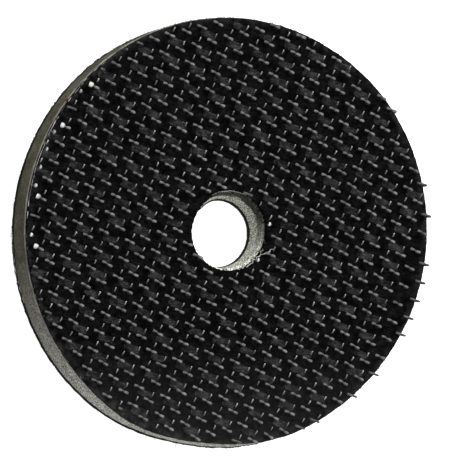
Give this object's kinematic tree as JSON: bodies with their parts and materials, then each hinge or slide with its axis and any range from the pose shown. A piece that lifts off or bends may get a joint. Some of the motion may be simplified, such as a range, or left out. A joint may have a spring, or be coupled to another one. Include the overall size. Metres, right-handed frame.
{
  "type": "hook-and-loop polishing interface pad",
  "caption": "Round foam disc with a centre hole, a black woven hook face on top and a brushed loop fabric underneath, for a small polishing machine.",
  "frame": {"origin": "middle of the loop face, on the plane that the pad lies on", "axes": "+Z along the axis of the centre hole, from the loop face to the hook face; +X and +Y in the plane of the disc, with the rows of hooks turned 19 degrees clockwise from +Y"},
  "size_m": [0.0508, 0.0508, 0.0067],
  "materials": {
    "loop_fabric": "matt brushed loop pile, dark grey",
    "adhesive_film": "pale hot-melt glue film",
    "foam": "fine closed-cell foam, olive grey, matt",
    "binder_coat": "thin resin coat, dark grey",
    "hook_fabric": "black woven nylon",
    "hook_filament": "black nylon monofilament, satin"
  },
  "bodies": {
    "root": {"loop_fabric": "loop_fabric", "rear_adhesive_film": "adhesive_film", "foam_core": "foam", "front_adhesive_film": "adhesive_film", "hook_binder_coat": "binder_coat", "hook_ground_fabric": "hook_fabric", "hook_row_01": "hook_filament", "hook_row_02": "hook_filament", "hook_row_03": "hook_filament", "hook_row_04": "hook_filament", "hook_row_05": "hook_filament", "hook_row_06": "hook_filament", "hook_row_07": "hook_filament", "hook_row_08": "hook_filament", "hook_row_09": "hook_filament", "hook_row_10": "hook_filament", "hook_row_11": "hook_filament", "hook_row_12": "hook_filament", "hook_row_13": "hook_filament", "hook_row_14": "hook_filament", "hook_row_15": "hook_filament", "hook_row_16": "hook_filament", "hook_row_17": "hook_filament", "hook_row_18": "hook_filament", "hook_row_19": "hook_filament", "hook_row_20": "hook_filament", "hook_row_21": "hook_filament", "hook_row_22": "hook_filament", "hook_row_23": "hook_filament", "hook_row_24": "hook_filament", "hook_row_25": "hook_filament", "hook_row_26": "hook_filament", "hook_row_27": "hook_filament", "hook_row_28": "hook_filament"}
  },
  "joints": []
}
